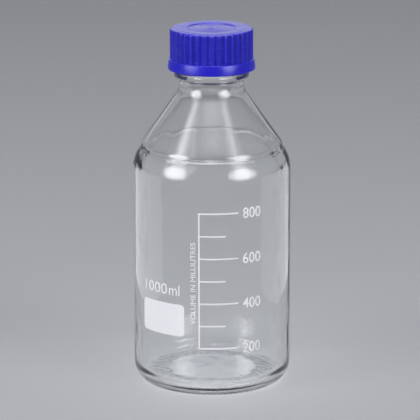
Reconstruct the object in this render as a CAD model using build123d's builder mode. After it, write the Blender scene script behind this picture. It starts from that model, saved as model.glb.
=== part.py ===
from build123d import *
import os
from math import cos, degrees, pi, radians, sin, tan

# Round 1000 ml media bottle of moulded glass, closed by a fluted 45 mm screw cap.
# Millimetres, +Z up, origin on the axis in the plane that the bottle stands on.
# Angles round the axis are counted from the front, which faces -Y, towards +X.

os.makedirs("parts", exist_ok=True)

# Body and shoulder
body_radius = 50.5
wall = 3.9  # glass thickness of the straight wall
heel_radius = 9.0  # outer rounding between wall and base
side_above_marks = 17.9  # straight wall above the highest mark
shoulder_radius = 20.7  # outer rounding into the shoulder cone
cone_half_angle = 35.3  # degrees between the shoulder cone and the axis
cone_wall = 3.6
parting_angle = 40.3  # degrees up the shoulder's rounding to the step where two moulds meet
parting_band = 3.3  # height of that step
parting_draft = 0.45  # how far the step leans in over its height
parting_rounding = 0.5

# Base
land_width = 3.0  # flat ring that the bottle stands on
punt_height = 2.4  # how far the middle of the underside is raised
grip_ring_radius = 29.0  # inner edge of the ring pressed for grip
grip_ring_height = 1.5
floor_height = 7.2  # inside, at the axis
floor_edge_radius = 27.6
floor_edge_height = 6.8
floor_edge_rounding = 3.0
floor_corner_height = 4.6  # lowest inside level, beside the wall
floor_corner_radius = 8.0

# Lip, which the pouring ring snaps on to
bore_radius = 16.0
lip_wall = 2.6
lip_height = 5.9
lip_bead_depth = 0.6
lip_bead_height = 2.4
lip_bead_slope = 0.5  # height over which the bead stands out
lip_rounding = 0.7
lip_groove_rounding = 0.3

# Pouring ring
ring_top_thickness = 0.8
ring_fit = 0.1  # between the ring and the lip bead
ring_hook_fit = 0.2  # between the ring's hook and the lip
ring_wall = 1.0
ring_overhang = 0.5  # drip edge beyond the skirt
ring_overhang_rise = 0.6
ring_hook_height = 1.6
ring_tip_width = 0.4
ring_skirt_gap = 0.6  # between the skirt and the step below the lip
ring_mouth_fit = 0.3  # how far the ring's opening stands back from the bore
ring_edge_rounding = 0.3

# Neck
neck_length = 6.7  # straight part between cone and collar
neck_blend = 14.0  # outer rounding between cone and neck
bore_blend = 9.0  # inner rounding between cone and bore
collar_depth = 2.95
collar_height = 5.3
collar_face_height = 3.45
collar_top_slope = 0.8
collar_root_rounding = 1.2
collar_lower_rounding = 1.6
collar_upper_rounding = 1.1
collar_top_rounding = 0.6
finish_height = 21.9  # collar to lip
finish_rounding = 0.8  # edge of the step below the lip

# Thread, the same ridge on the glass and, turned inwards, in the cap
thread_pitch = 4.0
thread_depth = 1.5
thread_root_width = 2.6
thread_crest_width = 1.2
thread_rounding = 0.3
thread_sink = 0.5  # how far a ridge is rooted in the wall that carries it
thread_fade = 0.12  # part of a turn over which a ridge rises at each end
thread_end_share = 0.2  # size of a ridge at its very end
thread_rise = 6.9  # collar to the middle of the ridge where it begins
neck_thread_turns = 1.5
cap_thread_turns = 1.25
thread_clearance = 0.5  # between a crest and the wall that it faces

# Sealing disc
disc_thickness = 2.5
disc_fit = 0.3  # between the disc and the cap
disc_chamfer = 0.3

# Screw cap
cap_gap = 2.3  # between the collar and the cap
cap_wall = 3.55
cap_top_thickness = 2.2
cap_edge_rounding = 1.5
cap_mouth_chamfer = 0.6
band_height = 6.5
band_top_depth = 0.75  # how far the plain band stands out from the grip, at its top
band_bottom_depth = 1.55
band_rounding = 0.4
flute_count = 36
flute_cutter_radius = 1.9
flute_depth = 0.75
panel_inset = 10.45  # from the grip to the round panel moulded into the top
panel_depth = 0.3
panel_edge_width = 0.6
rim_inset = 4.35  # from the grip to the inner edge of the lowered rim
rim_edge_width = 0.6
rim_depth = 0.15
gate_radius = 1.3
gate_height = 0.2
retainer_depth = 0.7  # rib in the cap that holds the disc
retainer_height = 0.8
retainer_gap = 0.2  # between that rib and the disc

# Enamel print on the front
enamel_thickness = 0.1
mark_volume = 100000.0  # cubic millimetres from mark to mark
mark_floor = 4.3  # mean height of the inside floor
first_mark_step = 2
mark_steps = 6
spine_angle = -9.8  # degrees, line that the marks grow from
long_mark_angle = 19.1  # degrees, end of the marks at even hundreds
short_mark_angle = 9.8
mark_width = 0.9
field_left_angle = -58.4
field_right_angle = -20.4
field_bottom = 40.5
field_top = 61.4
field_corner_radius = 2.8

# Worked out: the print and the body
inner_radius = body_radius - wall
mark_step = mark_volume / (pi * inner_radius**2)
lowest_mark = mark_floor + first_mark_step * mark_step
highest_mark = lowest_mark + mark_steps * mark_step
enamel_middle = body_radius + enamel_thickness / 2
land_outer_radius = body_radius - heel_radius
land_inner_radius = land_outer_radius - land_width

# Worked out: the neck, from the bore outwards
lip_radius = bore_radius + lip_wall
lip_bead_radius = lip_radius + lip_bead_depth
ring_bead_radius = lip_bead_radius + ring_fit
ring_hook_radius = lip_radius + ring_hook_fit
ring_skirt_radius = ring_bead_radius + ring_wall
neck_radius = ring_skirt_radius + ring_overhang  # so that the cap's thread clears the ring
collar_radius = neck_radius + collar_depth
cap_bore_radius = neck_radius + thread_depth + thread_clearance
thread_flank = (thread_root_width - thread_crest_width) / 2 / thread_depth

# Worked out: the shoulder, and the heights from there to the lip
shoulder_start = highest_mark + side_above_marks
parting_radius = body_radius - shoulder_radius * (1 - cos(radians(parting_angle)))
parting_height = shoulder_start + shoulder_radius * sin(radians(parting_angle))
cone_slope = tan(radians(cone_half_angle))  # loss of radius for each millimetre of height
cone_start_radius = parting_radius - parting_draft
cone_start_height = parting_height + parting_band
inner_cone_radius = cone_start_radius - cone_wall / cos(radians(cone_half_angle))
inner_shoulder_height = cone_start_height - (inner_radius - inner_cone_radius) / cone_slope
bore_start_height = cone_start_height + (inner_cone_radius - bore_radius) / cone_slope
neck_start_height = cone_start_height + (cone_start_radius - neck_radius) / cone_slope
collar_bottom = neck_start_height + neck_length
collar_top = collar_bottom + collar_height
bottle_height = collar_top + finish_height
lip_start = bottle_height - lip_height
lip_bead_start = bottle_height - lip_bead_height
ring_bottom = lip_start + ring_skirt_gap
ring_top = bottle_height + ring_top_thickness
neck_thread_start = collar_top + thread_rise

# Worked out: the disc and the cap
disc_radius = cap_bore_radius - disc_fit
disc_top = ring_top + disc_thickness
cap_top = disc_top + cap_top_thickness
cap_bottom = collar_top + cap_gap
cap_thread_start = neck_thread_start - thread_pitch / 2
grip_radius = cap_bore_radius + cap_wall
band_top = cap_bottom + band_height
panel_radius = grip_radius - panel_inset
panel_height = cap_top - panel_depth
gate_top = panel_height + gate_height
rim_radius = grip_radius - rim_inset
rim_height = cap_top - rim_depth
retainer_top = ring_top - retainer_gap


def thread_section(stretch, place, share, outward):
    """Outline of the ridge, at one end of a stretch of its helix."""
    point = stretch @ place
    away = Vector(point.X, point.Y, 0) * (1 if outward else -1)
    depth = thread_depth * share
    crest = thread_crest_width / 2 * share
    rooted = thread_root_width / 2 * share + thread_sink * thread_flank
    rounding = thread_rounding * share
    with BuildSketch(Plane(point, x_dir=away, z_dir=stretch % place)) as section:
        with BuildLine():
            FilletPolyline(
                (-thread_sink, -rooted),
                (depth, -crest),
                (depth, crest),
                (-thread_sink, rooted),
                radius=(0, rounding, rounding, 0),
                close=True,
            )
        make_face()
    return section.sketch


def thread_ridge(start, turns, radius, outward):
    """Adds a helical ridge that rises and runs out at its ends to the part being built."""
    with BuildLine() as route:
        Helix(thread_pitch, thread_pitch * turns, radius, center=(0, 0, start))
    helix = route.line.edges()[0]
    fade = thread_fade / turns
    full = helix.trim(fade, 1 - fade)
    rising = helix.trim(0, fade)
    falling = helix.trim(1 - fade, 1)
    sweep(thread_section(full, 0, 1, outward), path=full, is_frenet=True)
    for stretch, first, last in ((rising, thread_end_share, 1), (falling, 1, thread_end_share)):
        ends = [thread_section(stretch, 0, first, outward), thread_section(stretch, 1, last, outward)]
        sweep(ends, path=stretch, multisection=True, is_frenet=True)


def front_plane(angle):
    """Plane through the axis at an angle from the front: x points outwards, y up."""
    outward = Vector(sin(radians(angle)), -cos(radians(angle)), 0)
    return Plane((0, 0, 0), x_dir=outward, z_dir=outward.cross(Vector(0, 0, 1)))


# Bottle: one closed outline turned about the axis, then the thread ridge on its neck.
with BuildPart() as glass_bottle:
    with BuildSketch(Plane.XZ) as bottle_outline:
        with BuildLine() as outer_line:
            underside = Line((0, punt_height), (grip_ring_radius, grip_ring_height))
            grip_ring = Line(underside @ 1, (land_inner_radius, 0))
            land = Line(grip_ring @ 1, (land_outer_radius, 0))
            heel = RadiusArc(land @ 1, (body_radius, heel_radius), -heel_radius)
            side = Line(heel @ 1, (body_radius, shoulder_start))
            shoulder = RadiusArc(side @ 1, (parting_radius, parting_height), -shoulder_radius)
            finish = FilletPolyline(
                shoulder @ 1,
                (cone_start_radius, cone_start_height),
                (neck_radius, neck_start_height),
                (neck_radius, collar_bottom),
                (collar_radius, collar_top - collar_face_height),
                (collar_radius, collar_top),
                (neck_radius, collar_top + collar_top_slope),
                (neck_radius, lip_start),
                (lip_radius, lip_start),
                (lip_radius, lip_bead_start),
                (lip_bead_radius, lip_bead_start + lip_bead_slope),
                (lip_bead_radius, bottle_height),
                (bore_radius, bottle_height),
                (bore_radius, bore_start_height),
                (inner_radius, inner_shoulder_height),
                (inner_radius, floor_corner_height),
                (floor_edge_radius, floor_edge_height),
                (0, floor_height),
                radius=(
                    parting_rounding,
                    neck_blend,
                    collar_root_rounding,
                    collar_lower_rounding,
                    collar_upper_rounding,
                    collar_top_rounding,
                    finish_rounding,
                    lip_groove_rounding,
                    0,
                    0,
                    lip_rounding,
                    lip_rounding,
                    bore_blend,
                    shoulder_radius - wall,
                    floor_corner_radius,
                    floor_edge_rounding,
                ),
            )
            Line(finish @ 1, underside @ 0)
        make_face()
    revolve(axis=Axis.Z)
    thread_ridge(neck_thread_start, neck_thread_turns, neck_radius, outward=True)
glass_bottle.part.label = "glass_bottle"
export_step(glass_bottle.part, "parts/glass_bottle.step")

# Pouring ring: snaps over the lip bead and gives the bottle its drip-free edge.
with BuildPart() as pouring_ring:
    with BuildSketch(Plane.XZ) as ring_outline:
        with BuildLine():
            FilletPolyline(
                (bore_radius + ring_mouth_fit, bottle_height),
                (ring_bead_radius, bottle_height),
                (ring_bead_radius, lip_bead_start),
                (ring_hook_radius, lip_bead_start - lip_bead_slope),
                (ring_hook_radius, lip_bead_start - ring_hook_height),
                (ring_skirt_radius - ring_tip_width, ring_bottom),
                (ring_skirt_radius, ring_bottom),
                (ring_skirt_radius, bottle_height - ring_overhang_rise),
                (neck_radius, bottle_height),
                (neck_radius, ring_top),
                (bore_radius + ring_mouth_fit, ring_top),
                radius=(0, 0, 0, 0, 0, 0, 0, 0, 0, 0, ring_edge_rounding),
                close=True,
            )
        make_face()
    revolve(axis=Axis.Z)
pouring_ring.part.label = "pouring_ring"
export_step(pouring_ring.part, "parts/pouring_ring.step")

# Sealing disc: soft, loose in the cap, pressed on the pouring ring when the cap is tight.
with BuildPart() as sealing_disc:
    with BuildSketch(Plane.XY.offset(ring_top)):
        Circle(disc_radius)
    extrude(amount=disc_thickness)
    chamfer(sealing_disc.edges(), disc_chamfer)
sealing_disc.part.label = "sealing_disc"
export_step(sealing_disc.part, "parts/sealing_disc.step")

# Screw cap: a cup with a plain band, flutes for grip and the thread ridge inside.
with BuildPart() as screw_cap:
    with BuildSketch(Plane.XZ) as cap_outline:
        with BuildLine():
            shell = FilletPolyline(
                (0, gate_top),
                (gate_radius, gate_top),
                (gate_radius + gate_height, panel_height),
                (panel_radius - panel_edge_width, panel_height),
                (panel_radius, cap_top),
                (rim_radius, cap_top),
                (rim_radius + rim_edge_width, rim_height),
                (grip_radius, rim_height),
                (grip_radius, band_top),
                (grip_radius + band_top_depth, band_top),
                (grip_radius + band_bottom_depth, cap_bottom),
                (cap_bore_radius + cap_mouth_chamfer, cap_bottom),
                (cap_bore_radius, cap_bottom + cap_mouth_chamfer),
                (cap_bore_radius, retainer_top - retainer_height),
                (cap_bore_radius - retainer_depth, retainer_top - retainer_height / 2),
                (cap_bore_radius, retainer_top),
                (cap_bore_radius, disc_top),
                (0, disc_top),
                radius=(
                    0,
                    0,
                    0,
                    0,
                    0,
                    0,
                    cap_edge_rounding,
                    0,
                    band_rounding,
                    band_rounding,
                    0,
                    0,
                    0,
                    0,
                    0,
                    0,
                ),
            )
            Line(shell @ 1, shell @ 0)
        make_face()
    revolve(axis=Axis.Z)
    with BuildSketch(Plane.XY.offset(band_top)) as flutes:
        with PolarLocations(
            grip_radius - flute_depth + flute_cutter_radius,
            flute_count,
            start_angle=180 / flute_count,
        ):
            Circle(flute_cutter_radius)
    extrude(amount=cap_top - band_top, mode=Mode.SUBTRACT)
    thread_ridge(cap_thread_start, cap_thread_turns, cap_bore_radius, outward=False)
screw_cap.part.label = "screw_cap"
export_step(screw_cap.part, "parts/screw_cap.step")

# Graduation scale: an upright line with a mark for every 100 ml, fired on the glass.
with BuildPart() as graduation_scale:
    for step in range(mark_steps + 1):
        mark_end = short_mark_angle if step % 2 else long_mark_angle
        with BuildSketch(front_plane(spine_angle)):
            with Locations((enamel_middle, lowest_mark + step * mark_step)):
                Rectangle(enamel_thickness, mark_width)
        revolve(axis=Axis.Z, revolution_arc=mark_end - spine_angle)
    with BuildSketch(front_plane(spine_angle)):
        with Locations((enamel_middle, (lowest_mark + highest_mark) / 2)):
            Rectangle(enamel_thickness, highest_mark - lowest_mark + mark_width)
    revolve(axis=Axis.Z, revolution_arc=degrees(mark_width / body_radius))
graduation_scale.part.label = "graduation_scale"
export_step(graduation_scale.part, "parts/graduation_scale.step")

# Writing field: a solid patch of the same enamel, with rounded corners.
with BuildPart() as writing_field:
    with BuildSketch(front_plane(field_left_angle)):
        with Locations((enamel_middle, (field_bottom + field_top) / 2)):
            Rectangle(enamel_thickness, field_top - field_bottom)
    revolve(axis=Axis.Z, revolution_arc=field_right_angle - field_left_angle)
    corners = writing_field.edges().filter_by(GeomType.LINE).filter_by(Axis.Z, reverse=True)
    fillet(corners, field_corner_radius)
writing_field.part.label = "writing_field"
export_step(writing_field.part, "parts/writing_field.step")
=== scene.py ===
import bpy
import math
import numpy as np
from mathutils import Matrix, Vector


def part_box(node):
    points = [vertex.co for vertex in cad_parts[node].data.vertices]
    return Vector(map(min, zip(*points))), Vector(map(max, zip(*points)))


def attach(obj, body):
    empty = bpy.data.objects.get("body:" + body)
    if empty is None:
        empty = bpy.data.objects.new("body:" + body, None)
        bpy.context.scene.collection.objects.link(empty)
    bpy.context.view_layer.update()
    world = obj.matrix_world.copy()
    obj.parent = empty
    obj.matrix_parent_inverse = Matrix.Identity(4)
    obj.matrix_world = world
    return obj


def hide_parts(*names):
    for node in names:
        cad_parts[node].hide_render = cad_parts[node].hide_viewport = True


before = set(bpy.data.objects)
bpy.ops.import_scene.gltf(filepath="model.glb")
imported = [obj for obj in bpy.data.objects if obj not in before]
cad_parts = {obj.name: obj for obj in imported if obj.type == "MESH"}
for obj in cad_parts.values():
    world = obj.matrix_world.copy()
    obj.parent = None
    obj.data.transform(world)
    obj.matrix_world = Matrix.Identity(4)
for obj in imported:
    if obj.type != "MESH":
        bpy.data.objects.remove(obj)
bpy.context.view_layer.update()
scene = bpy.context.scene
tolerance = 1e-6  # lengths this small count as nothing
print("frame loaded:", ", ".join(sorted(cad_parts)))


def roundedLine(corners):
    # corners are (radius, height, rounding, steps); a rounding becomes an arc of that many steps
    points = []
    for i, (x, z, rounding, steps) in enumerate(corners):
        here = Vector((x, z))
        if rounding == 0 or i in (0, len(corners) - 1):
            points.append((x, z))
            continue
        before = (Vector(corners[i - 1][:2]) - here).normalized()
        after = (Vector(corners[i + 1][:2]) - here).normalized()
        half = before.angle(after) / 2
        middle = here + (before + after).normalized() * (rounding / math.sin(half))
        first = here + before * (rounding / math.tan(half))
        last = here + after * (rounding / math.tan(half))
        start = math.atan2(*(first - middle).yx)
        sweep = (math.atan2(*(last - middle).yx) - start + math.pi) % (2 * math.pi) - math.pi
        for k in range(steps + 1):
            angle = start + sweep * k / steps
            points.append((
                middle.x + rounding * math.cos(angle),
                middle.y + rounding * math.sin(angle),
            ))
    return points


def filled(points, longest):
    # splits long straight stretches so that no step is longer than longest
    dense = [points[0]]
    for (x0, z0), (x1, z1) in zip(points, points[1:]):
        count = max(1, math.ceil(math.hypot(x1 - x0, z1 - z0) / longest))
        dense += [
            (x0 + (x1 - x0) * k / count, z0 + (z1 - z0) * k / count)
            for k in range(1, count + 1)
        ]
    return dense


def turnedMesh(name, radii, heights, angles):
    # radii and heights are ring by angle tables; a ring of radius 0 becomes one point on the axis
    vertices, faces, rings = [], [], []
    for radius, height in zip(radii, heights):
        if radius.max() < tolerance:
            vertices.append((0.0, 0.0, float(height.mean())))
            rings.append([len(vertices) - 1] * len(angles))
            continue
        rings.append(list(range(len(vertices), len(vertices) + len(angles))))
        vertices += list(zip(radius * np.cos(angles), radius * np.sin(angles), height))
    for lower, upper in zip(rings, rings[1:]):
        for j in range(len(angles)):
            k = (j + 1) % len(angles)
            face = [lower[j], lower[k], upper[k], upper[j]]
            faces.append(list(dict.fromkeys(face)))  # a triangle beside the axis
    mesh = bpy.data.meshes.new(name)
    mesh.from_pydata(vertices, [], faces)
    mesh.polygons.foreach_set("use_smooth", [True] * len(mesh.polygons))
    mesh.update()
    piece = bpy.data.objects.new(name, mesh)
    scene.collection.objects.link(piece)
    return piece


def threadRidge(angles, heights, thread, start, turns):
    # height of a helical ridge over its wall, from 0 to 1
    ridge = np.zeros(np.broadcast(angles, heights).shape)
    flankWidth = (thread["rootWidth"] - thread["crestWidth"]) / 2
    for turn in range(math.ceil(turns) + 1):
        travel = (angles / (2 * math.pi)) % 1 + turn
        aside = np.abs(heights - start - thread["pitch"] * travel)
        flank = (thread["rootWidth"] / 2 - aside) / flankWidth
        rise = np.clip(np.minimum(travel, turns - travel) / thread["fade"], 0, 1)
        shape = np.clip(flank, 0, 1) * rise
        rounded = shape * shape * (3 - 2 * shape)
        shape = rounded * thread["softness"] + shape * (1 - thread["softness"])
        ridge = np.maximum(ridge, shape)
    return ridge


def wallWaves(angles, heights, wave):
    # smooth unevenness, about -1 to 1, that runs mostly up and down the wall
    draw = np.random.default_rng(wave["seed"])
    total = np.zeros(np.broadcast(angles, heights).shape)
    for _ in range(wave["count"]):
        around = draw.integers(*wave["around"])
        drift = draw.normal(0, wave["drift"])
        phase = draw.uniform(0, 2 * math.pi)
        size = draw.uniform(0.5, 1)
        total += size * np.sin(around * angles + drift * heights + phase)
    return total / math.sqrt(wave["count"])


def floorWaves(x, y, wave):
    # smooth unevenness, about -1 to 1, of a level surface
    draw = np.random.default_rng(wave["seed"])
    total = np.zeros(np.broadcast(x, y).shape)
    for _ in range(wave["count"]):
        heading = draw.uniform(0, math.pi)
        phase = draw.uniform(0, 2 * math.pi)
        size = draw.uniform(0.5, 1)
        length = wave["length"] * draw.uniform(0.7, 1.6)
        along = (x * math.cos(heading) + y * math.sin(heading)) * 2 * math.pi / length
        total += size * np.sin(along + phase)
    return total / math.sqrt(wave["count"])


def smoothStep(value, low, high):
    share = np.clip((value - low) / (high - low), 0, 1)
    return share * share * (3 - 2 * share)


def newGroup(name, inputs, outputs):
    group = bpy.data.node_groups.new(name, "ShaderNodeTree")
    for label, kind, default in inputs:
        socket = group.interface.new_socket(name=label, in_out="INPUT", socket_type=kind)
        socket.default_value = default
    for label, kind in outputs:
        group.interface.new_socket(name=label, in_out="OUTPUT", socket_type=kind)
    return group, group.nodes.new("NodeGroupInput"), group.nodes.new("NodeGroupOutput")


def fineGrainGroup():
    # cloudy and fine unevenness of a moulded surface: a height, a roughness and a tint mask
    group, inputs, outputs = newGroup(
        "fineGrain",
        [
            ("Cloud Scale", "NodeSocketFloat", 60.0),
            ("Grain Scale", "NodeSocketFloat", 900.0),
            ("Grain Amount", "NodeSocketFloat", 0.3),
            ("Rough Low", "NodeSocketFloat", 0.25),
            ("Rough High", "NodeSocketFloat", 0.35),
        ],
        [
            ("Height", "NodeSocketFloat"),
            ("Roughness", "NodeSocketFloat"),
            ("Cloud", "NodeSocketFloat"),
        ],
    )
    nodes, links = group.nodes, group.links
    place = nodes.new("ShaderNodeTexCoord")
    cloud = nodes.new("ShaderNodeTexNoise")
    cloud.inputs["Detail"].default_value = 3.0
    grain = nodes.new("ShaderNodeTexNoise")
    grain.inputs["Detail"].default_value = 2.0
    links.new(place.outputs["Object"], cloud.inputs["Vector"])
    links.new(place.outputs["Object"], grain.inputs["Vector"])
    links.new(inputs.outputs["Cloud Scale"], cloud.inputs["Scale"])
    links.new(inputs.outputs["Grain Scale"], grain.inputs["Scale"])
    rough = nodes.new("ShaderNodeMapRange")  # most of the noise lies between 0.35 and 0.65
    rough.inputs["From Min"].default_value = 0.35
    rough.inputs["From Max"].default_value = 0.65
    links.new(cloud.outputs["Fac"], rough.inputs["Value"])
    links.new(inputs.outputs["Rough Low"], rough.inputs["To Min"])
    links.new(inputs.outputs["Rough High"], rough.inputs["To Max"])
    weighted = nodes.new("ShaderNodeMath")
    weighted.operation = "MULTIPLY"
    links.new(grain.outputs["Fac"], weighted.inputs[0])
    links.new(inputs.outputs["Grain Amount"], weighted.inputs[1])
    height = nodes.new("ShaderNodeMath")
    height.operation = "ADD"
    links.new(weighted.outputs["Value"], height.inputs[0])
    links.new(cloud.outputs["Fac"], height.inputs[1])
    links.new(height.outputs["Value"], outputs.inputs["Height"])
    links.new(rough.outputs["Result"], outputs.inputs["Roughness"])
    links.new(cloud.outputs["Fac"], outputs.inputs["Cloud"])
    return group


def stippledRingGroup():
    # fine dots pressed into a ring round the axis, near the ground: a height and a roughness
    group, inputs, outputs = newGroup(
        "stippledRing",
        [
            ("Roughness", "NodeSocketFloat", 0.0),
            ("Ring Inner", "NodeSocketFloat", 0.03),
            ("Ring Outer", "NodeSocketFloat", 0.04),
            ("Ring Height", "NodeSocketFloat", 0.003),
            ("Dot Scale", "NodeSocketFloat", 400.0),
            ("Dot Rough", "NodeSocketFloat", 0.2),
        ],
        [("Height", "NodeSocketFloat"), ("Roughness", "NodeSocketFloat")],
    )
    nodes, links = group.nodes, group.links

    def reckon(operation, first, second):
        node = nodes.new("ShaderNodeMath")
        node.operation = operation
        for socket, value in zip(node.inputs, (first, second)):
            if isinstance(value, (int, float)):
                socket.default_value = value
            else:
                links.new(value, socket)
        return node.outputs["Value"]

    place = nodes.new("ShaderNodeTexCoord")
    split = nodes.new("ShaderNodeSeparateXYZ")
    links.new(place.outputs["Object"], split.inputs["Vector"])
    squaredX = reckon("POWER", split.outputs["X"], 2.0)
    squaredY = reckon("POWER", split.outputs["Y"], 2.0)
    radius = reckon("SQRT", reckon("ADD", squaredX, squaredY), 0.0)
    inside = reckon("GREATER_THAN", radius, inputs.outputs["Ring Inner"])
    outside = reckon("LESS_THAN", radius, inputs.outputs["Ring Outer"])
    low = reckon("LESS_THAN", split.outputs["Z"], inputs.outputs["Ring Height"])
    ring = reckon("MULTIPLY", reckon("MULTIPLY", inside, outside), low)
    dots = nodes.new("ShaderNodeTexVoronoi")
    links.new(place.outputs["Object"], dots.inputs["Vector"])
    links.new(inputs.outputs["Dot Scale"], dots.inputs["Scale"])
    links.new(reckon("MULTIPLY", dots.outputs["Distance"], ring), outputs.inputs["Height"])
    rough = reckon("MULTIPLY", ring, inputs.outputs["Dot Rough"])
    links.new(reckon("ADD", inputs.outputs["Roughness"], rough), outputs.inputs["Roughness"])
    return group


def fluteShadeMaskGroup():
    # mask for painted shade: 1 on the crests of a fluted wall and on its top face, 0 in the
    # bottoms of the flutes, where the shade is painted
    group, inputs, outputs = newGroup(
        "fluteShadeMask",
        [
            ("Flute Radius", "NodeSocketFloat", 0.025),
            ("Crest Radius", "NodeSocketFloat", 0.026),
            ("Edge Height", "NodeSocketFloat", 0.22),
            ("Top Height", "NodeSocketFloat", 0.23),
        ],
        [("Mask", "NodeSocketFloat")],
    )
    nodes, links = group.nodes, group.links
    place = nodes.new("ShaderNodeTexCoord")
    level = nodes.new("ShaderNodeVectorMath")
    level.operation = "MULTIPLY"
    level.inputs[1].default_value = (1, 1, 0)
    radius = nodes.new("ShaderNodeVectorMath")
    radius.operation = "LENGTH"
    split = nodes.new("ShaderNodeSeparateXYZ")
    links.new(place.outputs["Object"], level.inputs[0])
    links.new(level.outputs["Vector"], radius.inputs[0])
    links.new(place.outputs["Object"], split.inputs["Vector"])
    crest = nodes.new("ShaderNodeMapRange")
    links.new(radius.outputs["Value"], crest.inputs["Value"])
    links.new(inputs.outputs["Flute Radius"], crest.inputs["From Min"])
    links.new(inputs.outputs["Crest Radius"], crest.inputs["From Max"])
    face = nodes.new("ShaderNodeMapRange")
    links.new(split.outputs["Z"], face.inputs["Value"])
    links.new(inputs.outputs["Edge Height"], face.inputs["From Min"])
    links.new(inputs.outputs["Top Height"], face.inputs["From Max"])
    either = nodes.new("ShaderNodeMath")
    either.operation = "MAXIMUM"
    links.new(crest.outputs["Result"], either.inputs[0])
    links.new(face.outputs["Result"], either.inputs[1])
    links.new(either.outputs["Value"], outputs.inputs["Mask"])
    return group


grainGroup = fineGrainGroup()
fluteShadeGroup = fluteShadeMaskGroup()
stippleGroup = stippledRingGroup()


def newMaterial(name):
    material = bpy.data.materials.new(name)
    material.use_nodes = True
    return material, material.node_tree.nodes["Principled BSDF"]


def placeGroup(material, group, values):
    # a shader group whose inputs take the values of the same names
    placed = material.node_tree.nodes.new("ShaderNodeGroup")
    placed.node_tree = group
    for socket in placed.inputs:
        if socket.name in values:
            socket.default_value = values[socket.name]
    return placed


def addGrain(material, shader, look):
    nodes, links = material.node_tree.nodes, material.node_tree.links
    grain = placeGroup(material, grainGroup, look)
    bump = nodes.new("ShaderNodeBump")
    bump.inputs["Strength"].default_value = look["bump"]
    bump.inputs["Distance"].default_value = look["bumpHeight"]
    links.new(grain.outputs["Height"], bump.inputs["Height"])
    links.new(bump.outputs["Normal"], shader.inputs["Normal"])
    links.new(grain.outputs["Roughness"], shader.inputs["Roughness"])
    return grain


def blend(material, mask, first, second):
    # mixes two colours, or a colour and another mix, by a mask
    links = material.node_tree.links
    mix = material.node_tree.nodes.new("ShaderNodeMix")
    mix.data_type = "RGBA"
    links.new(mask, mix.inputs["Factor"])
    mix.inputs["A"].default_value = first
    if isinstance(second, tuple):
        mix.inputs["B"].default_value = second
    else:
        links.new(second, mix.inputs["B"])
    return mix.outputs["Result"]


def tintedMaterial(name, look):
    # cloudy colour, roughness and bump of an opaque surface
    material, shader = newMaterial(name)
    shader.inputs["IOR"].default_value = look["ior"]
    grain = addGrain(material, shader, look)
    tint = blend(material, grain.outputs["Cloud"], look["shade"], look["color"])
    material.node_tree.links.new(tint, shader.inputs["Base Color"])
    return material, shader


bottle = {
    "radius": 0.05047,
    "top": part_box("glass_bottle")[1].z,
    "wall": 0.0039,
    "coneWall": 0.0036,
    "heel": 0.009,
    "heelHeight": 0.0125,
    "heelSteps": 16,
    "shoulder": 0.0207,
    "shoulderSteps": 14,
    "partingAngle": 40.3,
    "partingBand": 0.0033,
    "partingDraft": 0.00045,
    # finer rows on both sides of the step where the moulds meet
    "partingShares": (0.89, 0.915, 0.935, 0.952, 0.967, 0.98, 0.991, 1),
    "partingRises": (0.00015, 0.0003, 0.0005, 0.0008, 0.0012),
    "coneAngle": 35.3,
    "landWidth": 0.003,
    "punt": 0.0024,
    "gripRadius": 0.029,
    "gripHeight": 0.0015,
    "floorMiddle": 0.0072,
    "floorEdge": 0.0276,
    "floorEdgeHeight": 0.0068,
    "floorCorner": 0.0046,
    "floorRounding": 0.008,
    "bore": 0.016,
    "boreRun": 0.01,
    "neck": 0.0208,
    "neckLength": 0.0067,
    "collar": 0.02375,
    "collarHeight": 0.0053,
    "collarFace": 0.00345,
    "collarSlope": 0.0008,
    "finish": 0.0219,
    "lip": 0.0186,
    "lipBead": 0.0192,
    "lipHeight": 0.0059,
    "lipBeadHeight": 0.0024,
    "lipBeadSlope": 0.0005,
    "segments": 320,
    "coneBlend": 0.008,
    "neckBlend": 0.014,
    # longest distances between rows
    "sideStep": 0.005,
    "puntStep": 0.004,
    "knurlStep": 0.00046,
    "landStep": 0.0006,
    "threadStep": 0.00033,
    "insideStep": 0.0045,
    # around is the range of waves round the wall, drift how much they turn with the height
    "insideWaves": {"height": 0.0002, "seed": 7, "around": (2, 15), "drift": 22, "count": 9},
    "insideRipple": {"height": 0.00004, "seed": 8, "around": (8, 40), "drift": 150, "count": 16},
    "outsideWaves": {"height": 0.00004, "seed": 11, "around": (3, 24), "drift": 30, "count": 9},
    "outsideRipple": {"height": 0.00004, "seed": 12, "around": (6, 30), "drift": 280, "count": 16},
    "streaks": {"height": 0.00001, "seed": 13, "around": (40, 80), "drift": 30, "count": 16},
    "wavesLow": (0.006, 0.03),
    "wavesHigh": 0.03,
    "floorWaves": {"height": 0.00012, "seed": 21, "length": 0.016, "count": 14},
    "floorFade": (0.03, 0.042),
    "floorTop": 0.02,
    "seamAngles": (-78.75, 101.25),
    "seamHeight": 0.00006,
    "seamWidth": 0.9,
    "finHeight": 0.0007,
    "finWidth": 0.00042,
    "finDrop": 0.0004,
    "finFade": 0.88,  # it is lower at the back
    "finFadeRange": (-0.6, 0.2),
    "finWander": {"height": 0.00022, "seed": 5, "around": (9, 60), "drift": 0, "count": 14},
    "finGaps": {"height": 0.45, "seed": 6, "around": (40, 150), "drift": 0, "count": 20},
    "finMean": 0.55,
    "finMost": 1.4,
    "knurls": 80,
    "knurlPitch": 0.0032,
    "knurlHeight": 0.0006,
    "footKnurl": 0.0006,
    "footWidth": 0.0085,
}
thread = {
    "pitch": 0.004,
    "depth": 0.0015,
    "rootWidth": 0.0026,
    "crestWidth": 0.0012,
    "softness": 0.35,
    "fade": 0.12,
    "rise": 0.0069,
    "margin": 0.0016,
    "neckTurns": 1.5,
    "capTurns": 1.25,
    "clearance": 0.0005,
}
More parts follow.
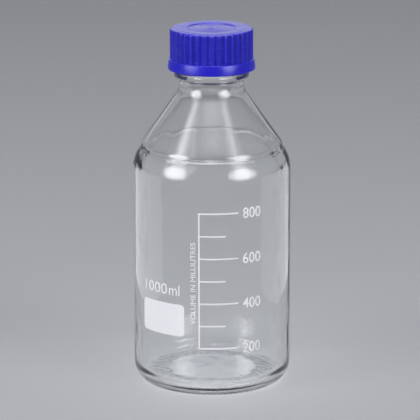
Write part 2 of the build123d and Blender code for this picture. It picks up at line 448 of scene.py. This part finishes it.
glassLook = {
    "color": (0.985, 0.99, 0.992, 1),
    "shadow": (0.93, 0.94, 0.945, 1),
    "ior": 1.48,
    "Cloud Scale": 22.0,
    "Grain Scale": 300.0,
    "Grain Amount": 0.12,
    "Rough Low": 0.0,
    "Rough High": 0.03,
    "bump": 0.35,
    "bumpHeight": 0.0004,
    "Ring Inner": 0.0285,
    "Ring Outer": 0.0395,
    "Ring Height": 0.003,
    "Dot Scale": 420.0,
    "Dot Rough": 0.12,
    "dotBump": 0.9,
    "dotHeight": 0.0006,
}


def bottleOutline(b):
    # the outside from the punt up to the lip, then the inside down to its floor
    slope = math.tan(math.radians(b["coneAngle"]))
    partingTurn = math.radians(b["partingAngle"])
    collarTop = b["top"] - b["finish"]
    neckStart = collarTop - b["collarHeight"] - b["neckLength"]
    partingRadius = b["radius"] - b["shoulder"] * (1 - math.cos(partingTurn))
    coneRadius = partingRadius - b["partingDraft"]
    coneStart = neckStart - (coneRadius - b["neck"]) / slope
    parting = coneStart - b["partingBand"]
    shoulderStart = parting - b["shoulder"] * math.sin(partingTurn)
    innerRadius = b["radius"] - b["wall"]
    innerCone = coneRadius - b["coneWall"] / math.cos(math.radians(b["coneAngle"]))
    innerShoulder = coneStart - (innerRadius - innerCone) / slope
    boreStart = coneStart + (innerCone - b["bore"]) / slope
    landOuter = b["radius"] - b["heel"]
    landInner = landOuter - b["landWidth"]
    beadStart = b["top"] - b["lipBeadHeight"]
    threadLow = collarTop + thread["rise"] - thread["margin"]
    threadHigh = threadLow + thread["pitch"] * thread["neckTurns"] + 2 * thread["margin"]

    under = filled([(0, b["punt"]), (b["gripRadius"], b["gripHeight"])], b["puntStep"])
    under += filled([(b["gripRadius"], b["gripHeight"]), (landInner, 0)], b["knurlStep"])[1:]
    under += filled([(landInner, 0), (landOuter, 0)], b["landStep"])[1:-1]
    for k in range(b["heelSteps"] + 1):
        turn = math.pi / 2 * k / b["heelSteps"]
        rise = b["heelHeight"] * (1 - math.cos(turn))
        under.append((landOuter + b["heel"] * math.sin(turn), rise))
    side = filled([under[-1], (b["radius"], shoulderStart)], b["sideStep"])[1:]
    arc = []
    evenShares = [k / b["shoulderSteps"] for k in range(1, b["shoulderSteps"] - 1)]
    for share in evenShares + list(b["partingShares"]):
        turn = partingTurn * share
        rise = b["shoulder"] * math.sin(turn)
        arc.append((b["radius"] - b["shoulder"] * (1 - math.cos(turn)), shoulderStart + rise))
    lean = b["partingDraft"] / b["partingBand"]
    band = [(arc[-1][0] - lean * rise, arc[-1][1] + rise) for rise in b["partingRises"]]
    upper = roundedLine([
        (*band[-1], 0, 0),
        (coneRadius, coneStart, b["coneBlend"], 9),
        (b["neck"], neckStart, b["neckBlend"], 12),
        (b["neck"], collarTop - b["collarHeight"], 0.0012, 5),
        (b["collar"], collarTop - b["collarFace"], 0.0016, 6),
        (b["collar"], collarTop, 0.0011, 6),
        (b["neck"], collarTop + b["collarSlope"], 0.0006, 4),
        (b["neck"], threadLow, 0, 0),
        (b["neck"], threadHigh, 0, 0),
        (b["neck"], b["top"] - b["lipHeight"], 0.0008, 4),
        (b["lip"], b["top"] - b["lipHeight"], 0.0003, 3),
        (b["lip"], beadStart, 0, 0),
        (b["lipBead"], beadStart + b["lipBeadSlope"], 0, 0),
        (b["lipBead"], b["top"], 0.0007, 5),
        (b["bore"], b["top"], 0.0007, 5),
        (b["bore"], boreStart + b["boreRun"], 0, 0),
    ])[1:]
    outer = [arc[-1]] + band
    for first, last in zip([band[-1]] + upper, upper):
        onThread = (first[1], last[1]) == (threadLow, threadHigh)
        outer += filled([first, last], b["threadStep"] if onThread else b["sideStep"])[1:]
    inner = roundedLine([
        (b["bore"], boreStart + b["boreRun"], 0, 0),
        (b["bore"], boreStart, 0.009, 9),
        (innerRadius, innerShoulder, b["shoulder"] - b["wall"], 16),
        (innerRadius, b["floorCorner"], b["floorRounding"], 14),
        (b["floorEdge"], b["floorEdgeHeight"], 0.003, 5),
        (0, b["floorMiddle"], 0, 0),
    ])
    inner = filled(inner, b["insideStep"])[1:]
    outside = under + side + arc + outer[1:]
    heights = {"parting": parting, "cone": coneStart, "collarTop": collarTop}
    return np.array(outside), np.array(inner), heights


def wavyWall(b, rows, radius, height, around, isOuter, coneStart):
    # the blown inside is uneven, and the moulded outside dips a little here and there
    wallShare = smoothStep(rows[:, 1:], *b["wavesLow"])
    wallShare = wallShare * (1 - smoothStep(rows[:, 1:], coneStart, b["top"] - b["wavesHigh"]))

    def waves(name):
        return wallWaves(around, height, b[name])

    inside = b["insideWaves"]["height"] * waves("insideWaves")
    inside = inside + b["insideRipple"]["height"] * waves("insideRipple")
    outside = b["outsideWaves"]["height"] * (1 + 0.5 * waves("outsideWaves"))
    outside = outside + b["outsideRipple"]["height"] * (2 + waves("outsideRipple"))
    outside = outside + b["streaks"]["height"] * (2 + waves("streaks"))
    return radius + ~isOuter * wallShare * inside - isOuter * wallShare * outside


def seamsAndFin(b, radius, height, around, isOuter, heights):
    # two faint mould seams up the side, and a ragged edge where the moulds meet
    onSide = isOuter & (height > b["heelHeight"]) & (height < heights["collarTop"])
    for angle in b["seamAngles"]:
        aside = (np.degrees(around) - angle + 180) % 360 - 180
        radius = radius + onSide * b["seamHeight"] * np.exp(-((aside / b["seamWidth"]) ** 2))
    wander = b["finWander"]["height"] * wallWaves(around, height * 0, b["finWander"])
    ragged = b["finMean"] + b["finGaps"]["height"] * wallWaves(around, height * 0, b["finGaps"])
    toFin = (height - heights["parting"] + b["finDrop"] - wander) / b["finWidth"]
    facing = 1 - b["finFade"] * smoothStep(np.sin(around), *b["finFadeRange"])
    fin = b["finHeight"] * facing * np.clip(ragged, 0, b["finMost"]) * np.exp(-(toFin**2))
    return radius + isOuter * fin


def knurledFoot(b, radius, height, around, isOuter):
    # staggered knurls in a ring underneath, and a row of them round the foot
    ringOuter = b["radius"] - b["heel"] - b["landWidth"]
    inRing = isOuter & (height < b["gripHeight"] + tolerance)
    inRing = inRing & (radius > b["gripRadius"] - tolerance) & (radius < ringOuter)
    outwards = (radius - b["gripRadius"]) / b["knurlPitch"]
    rowShift = np.where(np.floor(outwards) % 2 == 1, math.pi, 0)
    knurls = np.cos(around * b["knurls"] + rowShift) * np.sin(math.pi * (outwards % 1))
    height = height + inRing * b["knurlHeight"] * np.clip(knurls, 0, 1)
    onFoot = isOuter & (height < b["heelHeight"]) & (radius >= ringOuter)
    acrossFoot = np.sin(math.pi * np.clip((radius - ringOuter) / b["footWidth"], 0, 1))
    knurls = 0.5 + 0.5 * np.cos(around * b["knurls"])
    return height + onFoot * b["footKnurl"] * acrossFoot * knurls


def makeBottle(b):
    outside, inside, heights = bottleOutline(b)
    angles = np.arange(b["segments"]) * 2 * math.pi / b["segments"]
    rows = np.concatenate([outside, inside])
    radius = np.repeat(rows[:, :1], b["segments"], axis=1)
    height = np.repeat(rows[:, 1:], b["segments"], axis=1)
    around = np.broadcast_to(angles, radius.shape)
    isOuter = (np.arange(len(rows)) < len(outside))[:, None]
    onNeck = isOuter & (np.abs(radius - b["neck"]) < tolerance)
    start = heights["collarTop"] + thread["rise"]
    ridge = threadRidge(around, height, thread, start, thread["neckTurns"])
    radius = radius + onNeck * thread["depth"] * ridge
    radius = wavyWall(b, rows, radius, height, around, isOuter, heights["cone"])
    # the inside floor is uneven too
    floorShare = 1 - smoothStep(rows[:, :1], *b["floorFade"])
    onFloor = ~isOuter * floorShare * (height < b["floorTop"])
    waves = floorWaves(radius * np.cos(around), radius * np.sin(around), b["floorWaves"])
    height = height + onFloor * b["floorWaves"]["height"] * waves
    radius = seamsAndFin(b, radius, height, around, isOuter, heights)
    height = knurledFoot(b, radius, height, around, isOuter)
    radius = np.where(rows[:, :1] > 0, radius, 0)  # the waves leave the axis alone
    return turnedMesh("bottle_glass", radius, height, angles)


def glassMaterial(look):
    material, shader = newMaterial("clear_glass")
    nodes, links = material.node_tree.nodes, material.node_tree.links
    shader.inputs["Base Color"].default_value = look["color"]
    shader.inputs["IOR"].default_value = look["ior"]
    shader.inputs["Transmission Weight"].default_value = 1.0
    grain = addGrain(material, shader, look)
    stipple = placeGroup(material, stippleGroup, look)
    links.new(grain.outputs["Roughness"], stipple.inputs["Roughness"])
    links.new(stipple.outputs["Roughness"], shader.inputs["Roughness"])
    dots = nodes.new("ShaderNodeBump")
    dots.inputs["Strength"].default_value = look["dotBump"]
    dots.inputs["Distance"].default_value = look["dotHeight"]
    links.new(stipple.outputs["Height"], dots.inputs["Height"])
    links.new(shader.inputs["Normal"].links[0].from_socket, dots.inputs["Normal"])
    links.new(dots.outputs["Normal"], shader.inputs["Normal"])
    # light passes straight through to the floor, so that the shadow stays light
    path = nodes.new("ShaderNodeLightPath")
    clear = nodes.new("ShaderNodeBsdfTransparent")
    clear.inputs["Color"].default_value = look["shadow"]
    mix = nodes.new("ShaderNodeMixShader")
    links.new(path.outputs["Is Shadow Ray"], mix.inputs["Fac"])
    links.new(shader.outputs["BSDF"], mix.inputs[1])
    links.new(clear.outputs["BSDF"], mix.inputs[2])
    links.new(mix.outputs["Shader"], nodes["Material Output"].inputs["Surface"])
    return material


glass = makeBottle(bottle)
glass.data.materials.append(glassMaterial(glassLook))
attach(glass, "bottle")
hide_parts("glass_bottle")
print("bottle made:", len(glass.data.polygons), "faces")


capLow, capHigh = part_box("screw_cap")
discLow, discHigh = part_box("sealing_disc")
cap = {
    "bottom": capLow.z - 0.0008,  # the band reaches a little lower than the solid's
    "top": capHigh.z,
    "inside": discHigh.z,
    "bore": bottle["neck"] + thread["depth"] + thread["clearance"],
    "wall": 0.00355,
    "edge": 0.0015,
    "bandHeight": 0.0065,
    "bandTop": 0.00075,
    "bandBottom": 0.00155,
    "chamfer": 0.0006,
    "flutes": 36,
    "fluteRadius": 0.0019,
    "fluteDepth": 0.00075,
    "flutePhase": math.pi / 36,
    "fluteEnd": 0.0008,
    "fluteEndShares": (0.75, 0.5, 0.3, 0.15, 0.05, 0),
    "softness": 0.00012,
    "panelInset": 0.01045,
    "panelDepth": 0.0003,
    "grooveWidth": 0.0006,
    "grooveDepth": 0.00025,
    "grooveSlope": 0.0003,
    "rimInset": 0.00435,
    "rimDepth": 0.00015,
    "rimSlope": 0.0006,
    "gate": 0.0013,
    "gateHeight": 0.0002,
    "gateSlope": 0.0003,
    "retainerTop": discLow.z - 0.0002,
    "retainerDepth": 0.0007,
    "retainerHeight": 0.0008,
    "segments": 432,
    # the side starts this far below the rim; then the longest distances between rows
    "sideStart": 0.003,
    "sideStep": 0.002,
    "threadStep": 0.00028,
    "insideStep": 0.003,
}
plasticLook = {
    "color": (0.016, 0.014, 0.48, 1),
    "shade": (0.013, 0.011, 0.44, 1),
    # painted shade: the darker blue painted into the bottoms of the flutes
    "recess": (0.006, 0.005, 0.29, 1),
    "ior": 1.5,
    "specular": 0.22,
    "Cloud Scale": 90.0,
    "Grain Scale": 2600.0,
    "Grain Amount": 0.5,
    "Rough Low": 0.24,
    "Rough High": 0.3,
    "bump": 0.15,
    "bumpHeight": 0.00008,
}


def capOutline(c, grip, bandTop):
    # from the middle of the top, down the side, and up the inside to the middle
    panel = grip - c["panelInset"]
    panelHeight = c["top"] - c["panelDepth"]
    groove = panel - c["grooveWidth"]
    rim = grip - c["rimInset"]
    rimHeight = c["top"] - c["rimDepth"]
    sideTop = rimHeight - c["sideStart"]
    outer = roundedLine([
        (0, panelHeight + c["gateHeight"], 0, 0),
        (c["gate"], panelHeight + c["gateHeight"], 0.0003, 2),
        (c["gate"] + c["gateSlope"], panelHeight, 0.0002, 2),
        (groove - c["grooveSlope"], panelHeight, 0.0001, 2),
        (groove, panelHeight - c["grooveDepth"], 0.0001, 2),
        (panel, c["top"], 0.0003, 2),
        (rim, c["top"], 0.0004, 2),
        (rim + c["rimSlope"], rimHeight, 0.0004, 2),
        (grip, rimHeight, c["edge"], 9),
        (grip, sideTop, 0, 0),
    ])
    outer += filled([(grip, sideTop), (grip, bandTop + c["fluteEnd"])], c["sideStep"])[1:]
    outer += [(grip, bandTop + c["fluteEnd"] * share) for share in c["fluteEndShares"]]
    rest = roundedLine([
        (grip, bandTop, 0, 0),
        (grip + c["bandTop"], bandTop, 0.00045, 4),
        (grip + c["bandBottom"], c["bottom"], 0.0005, 5),
        (c["bore"] + c["chamfer"], c["bottom"], 0.0002, 2),
        (c["bore"], c["bottom"] + c["chamfer"], 0.0002, 2),
        (c["bore"], c["retainerTop"] - c["retainerHeight"], 0, 0),
        (c["bore"] - c["retainerDepth"], c["retainerTop"] - c["retainerHeight"] / 2, 0.0002, 2),
        (c["bore"], c["retainerTop"], 0, 0),
        (c["bore"], c["inside"], 0.0004, 2),
        (0, c["inside"], 0, 0),
    ])[1:]
    for first, last in zip([outer[-1]] + rest, rest):
        onBore = first[0] == c["bore"] and last[0] == c["bore"]
        outer += filled([first, last], c["threadStep"] if onBore else c["insideStep"])[1:]
    return np.array(outer)


def makeCap(c):
    grip = c["bore"] + c["wall"]
    bandTop = c["bottom"] + c["bandHeight"]
    rows = capOutline(c, grip, bandTop)[::-1]
    angles = np.arange(c["segments"]) * 2 * math.pi / c["segments"]
    radius = np.repeat(rows[:, :1], c["segments"], axis=1)
    height = np.repeat(rows[:, 1:], c["segments"], axis=1)
    around = np.broadcast_to(angles, radius.shape)
    # flutes: the wall is the nearer of the turned shape and the flute cutters
    pitch = 2 * math.pi / c["flutes"]
    aside = (around - c["flutePhase"] + pitch / 2) % pitch - pitch / 2
    centre = grip - c["fluteDepth"] + c["fluteRadius"]
    reach = centre * np.sin(aside)
    cut = centre * np.cos(aside) - np.sqrt(np.clip(c["fluteRadius"] ** 2 - reach**2, 0, None))
    clear = grip + c["fluteRadius"]  # between the cutters, well outside the wall
    cut = np.where(np.abs(reach) < c["fluteRadius"], cut, clear)
    onGrip = (radius > grip - c["edge"] - tolerance) & (radius < grip + tolerance)
    onGrip = onGrip & (height >= bandTop - tolerance)
    k = c["softness"]
    soft = -k * np.log(np.exp(-(radius - grip) / k) + np.exp(-(cut - grip) / k)) + grip
    radius = np.where(onGrip, np.minimum(soft, radius), radius)
    # the thread inside
    onBore = np.abs(radius - c["bore"]) < tolerance
    start = bottle["top"] - bottle["finish"] + thread["rise"] - thread["pitch"] / 2
    ridge = threadRidge(around, height, thread, start, thread["capTurns"])
    radius = radius - onBore * thread["depth"] * ridge
    return turnedMesh("cap_shell", radius, height, angles)


def plasticMaterial(look, c):
    material, shader = tintedMaterial("blue_plastic", look)
    shader.inputs["Specular IOR Level"].default_value = look["specular"]
    # painted shade: the bottoms of the flutes are painted darker than their crests and the top,
    # standing in for the shade that falls in them
    grip = c["bore"] + c["wall"]
    paintedShadeMask = placeGroup(material, fluteShadeGroup, {
        "Flute Radius": grip - c["fluteDepth"],
        "Crest Radius": grip,
        "Edge Height": c["top"] - c["edge"],
        "Top Height": c["top"] - c["edge"] / 3,
    })
    tint = shader.inputs["Base Color"].links[0].from_socket
    tint = blend(material, paintedShadeMask.outputs["Mask"], look["recess"], tint)
    material.node_tree.links.new(tint, shader.inputs["Base Color"])
    return material


bluePlastic = plasticMaterial(plasticLook, cap)
capShell = makeCap(cap)
capShell.data.materials.append(bluePlastic)
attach(capShell, "cap")
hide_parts("screw_cap")
print("cap made:", len(capShell.data.polygons), "faces")


def dress(node, material):
    # the solid itself is seen, with this finish
    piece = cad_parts[node]
    piece.data.materials.clear()
    piece.data.materials.append(material)


siliconeLook = {
    "ior": 1.42,
    "subsurface": 0.15,
    "subsurfaceRadius": (0.002, 0.002, 0.0018),
    "color": (0.78, 0.78, 0.75, 1),
    "shade": (0.7, 0.7, 0.67, 1),
    "Cloud Scale": 120.0,
    "Grain Scale": 1800.0,
    "Grain Amount": 0.6,
    "Rough Low": 0.5,
    "Rough High": 0.65,
    "bump": 0.3,
    "bumpHeight": 0.0001,
}


def siliconeMaterial(look):
    material, shader = tintedMaterial("white_rubber", look)
    shader.inputs["Subsurface Weight"].default_value = look["subsurface"]
    shader.inputs["Subsurface Radius"].default_value = look["subsurfaceRadius"]
    return material


dress("pouring_ring", bluePlastic)
dress("sealing_disc", siliconeMaterial(siliconeLook))


enamelLook = {
    "ior": 1.5,
    "color": (0.82, 0.82, 0.85, 1),
    "shade": (0.77, 0.77, 0.8, 1),
    "Cloud Scale": 260.0,
    "Grain Scale": 2200.0,
    "Grain Amount": 0.8,
    "Rough Low": 0.3,
    "Rough High": 0.45,
    "bump": 0.2,
    "bumpHeight": 0.00008,
}
scaleLow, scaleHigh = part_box("graduation_scale")
markWidth = 0.0009
lowestMark = scaleLow.z + markWidth / 2
markStep = (scaleHigh.z - scaleLow.z - markWidth) / 6  # seven marks
printing = {
    "radius": 0.0505,
    "layer": 0.0001,
    "curveSteps": 5,
    "numbers": [("200", 0), ("400", 2), ("600", 4), ("800", 6)],
    "numberStart": 22.6,
    "numberEnd": 37.0,
    "numberHeight": 0.0069,
    "numberDrop": 0.0003,
    "numberWeight": 0.00004,
    "capacity": [("capacity_number", "1000", -55.9, -34.1), ("capacity_unit", "ml", -32.5, -23.9)],
    "capacityHeight": 0.0069,
    "capacityBase": 0.067,
    "capacityWeight": 0.0,
    "caption": "VOLUME IN MILLILITRES",
    "captionAngle": -11.9,
    "captionLow": 0.0493,
    "captionHigh": 0.1028,
    "captionHeight": 0.0032,
    "captionWeight": 0.0,
}


def flatLetters(text, weight):
    # letters as a flat mesh with its lower left corner at the origin, and their size
    curve = bpy.data.curves.new("letters", "FONT")
    curve.body = text
    curve.size = 1.0
    curve.offset = weight
    curve.resolution_u = printing["curveSteps"]
    holder = bpy.data.objects.new("letters", curve)
    scene.collection.objects.link(holder)
    bpy.context.view_layer.update()
    evaluated = holder.evaluated_get(bpy.context.evaluated_depsgraph_get())
    mesh = bpy.data.meshes.new_from_object(evaluated)
    bpy.data.objects.remove(holder)
    points = np.array([v.co[:2] for v in mesh.vertices])
    low, high = points.min(0), points.max(0)
    mesh.transform(Matrix.Translation((-low[0], -low[1], 0)))
    return mesh, high - low


def wrapLetters(name, text, radius, width, height, weight, place):
    # bends flat letters round the wall; place turns a flat point into an angle and a height
    mesh, size = flatLetters(text, weight / height)
    scale = np.array([width, height]) / size
    count = len(mesh.vertices)
    flat = np.array([v.co[:2] for v in mesh.vertices]) * scale
    faces = [list(p.vertices) for p in mesh.polygons]
    angles, heights = place(flat)
    vertices = []
    for r in (radius, radius + printing["layer"]):
        vertices += list(zip(r * np.sin(angles), -r * np.cos(angles), heights))
    edges = {}
    for face in faces:
        for first, last in zip(face, face[1:] + face[:1]):
            edges.setdefault(frozenset((first, last)), []).append((first, last))
    shell = [[v + count for v in face] for face in faces] + [face[::-1] for face in faces]
    for used in edges.values():
        if len(used) == 1:  # an outline edge, which gets a side wall
            first, last = used[0]
            shell.append([first, last, last + count, first + count])
    letters = bpy.data.meshes.new(name)
    letters.from_pydata(vertices, [], shell)
    letters.update()
    bpy.data.meshes.remove(mesh)
    piece = bpy.data.objects.new(name, letters)
    scene.collection.objects.link(piece)
    piece.data.materials.append(whiteEnamel)
    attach(piece, "bottle")


def levelText(name, text, startAngle, endAngle, base, height, weight):
    radius = printing["radius"]
    start = math.radians(startAngle)
    width = radius * (math.radians(endAngle) - start)
    wrapLetters(
        name, text, radius, width, height, weight,
        lambda flat: (start + flat[:, 0] / radius, base + flat[:, 1]),
    )


def uprightText(name, text, angle, low, high, height, weight):
    radius = printing["radius"]
    wrapLetters(
        name, text, radius, high - low, height, weight,
        lambda flat: (math.radians(angle) - flat[:, 1] / radius, low + flat[:, 0]),
    )


whiteEnamel = tintedMaterial("white_enamel", enamelLook)[0]
dress("graduation_scale", whiteEnamel)
dress("writing_field", whiteEnamel)
for number, step in printing["numbers"]:
    middle = lowestMark + step * markStep
    levelText(
        "number_" + number, number, printing["numberStart"], printing["numberEnd"],
        middle - printing["numberDrop"] - printing["numberHeight"] / 2,
        printing["numberHeight"], printing["numberWeight"],
    )
for name, text, start, end in printing["capacity"]:
    levelText(
        name, text, start, end, printing["capacityBase"],
        printing["capacityHeight"], printing["capacityWeight"],
    )
uprightText(
    "unit_caption", printing["caption"], printing["captionAngle"], printing["captionLow"],
    printing["captionHigh"], printing["captionHeight"], printing["captionWeight"],
)
print("print made")


stageLook = {
    "floorSize": 12.0,
    "floorColor": (0.43, 0.435, 0.45, 1),
    "floorRoughness": 0.6,
    "floorSpecular": 0.0,
    "world": (0.33, 0.34, 0.365, 1),
    "worldStrength": 1.0,
}
lamps = {
    # angle is counted from the front, to the right; edge is the share that fades out
    "left_softbox": {
        "angle": -57, "rise": 16, "distance": 2.0, "size": (2.0, 2.0),
        "glow": 7.2, "edge": 1.0, "reflectionOnly": False,
    },
    "right_softbox": {
        "angle": 48, "rise": 15, "distance": 2.0, "size": (1.9, 1.9),
        "glow": 7.0, "edge": 1.0, "reflectionOnly": False,
    },
    "left_high": {
        "angle": -63, "rise": 46, "distance": 2.2, "size": (1.1, 1.1),
        "glow": 5.0, "edge": 1.0, "reflectionOnly": False,
    },
    "right_high": {
        "angle": 49, "rise": 49, "distance": 2.2, "size": (1.1, 1.1),
        "glow": 3.6, "edge": 1.0, "reflectionOnly": False,
    },
    "overhead": {
        "angle": 0, "rise": 82, "distance": 2.0, "size": (1.2, 1.2),
        "glow": 10.0, "edge": 1.0, "reflectionOnly": False,
    },
    "overhead_glint": {
        "angle": 0, "rise": 88, "distance": 1.0, "size": (1.5, 1.5),
        "glow": 8.0, "edge": 0.5, "reflectionOnly": True,
    },
    "left_glint": {
        "angle": -55, "rise": 20, "distance": 1.9, "size": (1.7, 1.8),
        "glow": 8.5, "edge": 0.6, "reflectionOnly": True,
    },
    "right_glint": {
        "angle": 47, "rise": 19, "distance": 1.9, "size": (1.7, 1.7),
        "glow": 8.5, "edge": 0.6, "reflectionOnly": True,
    },
    "left_card": {
        "angle": -105, "rise": -15, "distance": 0.25, "size": (0.32, 0.14),
        "glow": 1.1, "edge": 0, "reflectionOnly": True,
    },
    "right_card": {
        "angle": 105, "rise": -15, "distance": 0.25, "size": (0.32, 0.14),
        "glow": 0.85, "edge": 0, "reflectionOnly": True,
    },
    "back_card": {
        "angle": 180, "rise": 20, "distance": 1.3, "size": (1.6, 0.6),
        "glow": 0.8, "edge": 0, "reflectionOnly": True,
    },
}
lampAim = Vector((0, 0, 0.13))
viewer = {
    "place": (-0.00116, -1.7149, 0.565),
    "pitchDown": 14.83,
    "roll": -0.115,
    "lens": 236.9,
    "sensor": 36.0,
}


def makeFloor(look):
    half = look["floorSize"] / 2
    mesh = bpy.data.meshes.new("floor")
    corners = [(-half, -half, 0), (half, -half, 0), (half, half, 0), (-half, half, 0)]
    mesh.from_pydata(corners, [], [(0, 1, 2, 3)])
    floor = bpy.data.objects.new("floor", mesh)
    scene.collection.objects.link(floor)
    material, shader = newMaterial("floor_paint")
    shader.inputs["Base Color"].default_value = look["floorColor"]
    shader.inputs["Roughness"].default_value = look["floorRoughness"]
    shader.inputs["Specular IOR Level"].default_value = look["floorSpecular"]
    mesh.materials.append(material)


def makeWorld(look):
    world = bpy.data.worlds.new("studio")
    world.use_nodes = True
    background = world.node_tree.nodes["Background"]
    background.inputs["Color"].default_value = look["world"]
    background.inputs["Strength"].default_value = look["worldStrength"]
    scene.world = world


def makeLamp(name, values):
    # a soft lamp that is brightest in its middle
    light = bpy.data.lights.new(name, "AREA")
    light.shape = "RECTANGLE"
    light.size, light.size_y = values["size"]
    light.energy = values["glow"] * light.size * light.size_y * math.pi  # glow is its brightness
    if values["edge"]:
        light.use_nodes = True
        nodes, links = light.node_tree.nodes, light.node_tree.links
        place = nodes.new("ShaderNodeNewGeometry")
        centred = nodes.new("ShaderNodeVectorMath")
        centred.operation = "SUBTRACT"
        centred.inputs[1].default_value = (0.5, 0.5, 0)
        fromMiddle = nodes.new("ShaderNodeVectorMath")
        fromMiddle.operation = "LENGTH"
        fade = nodes.new("ShaderNodeMapRange")
        fade.interpolation_type = "SMOOTHSTEP"
        fade.inputs["From Min"].default_value = 0.5
        fade.inputs["From Max"].default_value = 0.5 * (1 - values["edge"])
        links.new(place.outputs["Parametric"], centred.inputs[0])
        links.new(centred.outputs["Vector"], fromMiddle.inputs[0])
        links.new(fromMiddle.outputs["Value"], fade.inputs["Value"])
        links.new(fade.outputs["Result"], nodes["Emission"].inputs["Strength"])
    turn, rise = math.radians(values["angle"]), math.radians(values["rise"])
    level = math.cos(rise)
    away = Vector((math.sin(turn) * level, -math.cos(turn) * level, math.sin(rise)))
    lamp = bpy.data.objects.new(name, light)
    lamp.location = lampAim + away * values["distance"]
    lamp.rotation_euler = (-away).to_track_quat("-Z", "Y").to_euler()
    lamp.visible_camera = False
    if values["reflectionOnly"]:
        lamp.visible_diffuse = False
        lamp.visible_transmission = False
    scene.collection.objects.link(lamp)


def makeCamera(values):
    camera = bpy.data.objects.new("camera", bpy.data.cameras.new("camera"))
    camera.data.lens = values["lens"]
    camera.data.sensor_width = values["sensor"]
    camera.data.sensor_fit = "HORIZONTAL"
    camera.location = values["place"]
    pitch = Matrix.Rotation(math.radians(90 - values["pitchDown"]), 4, "X")
    roll = Matrix.Rotation(math.radians(values["roll"]), 4, "Z")
    camera.rotation_euler = (pitch @ roll).to_euler()
    scene.collection.objects.link(camera)
    scene.camera = camera


makeFloor(stageLook)
makeWorld(stageLook)
for lampName, lampValues in lamps.items():
    makeLamp(lampName, lampValues)
makeCamera(viewer)
scene.view_settings.view_transform = "Standard"
print("stage made")
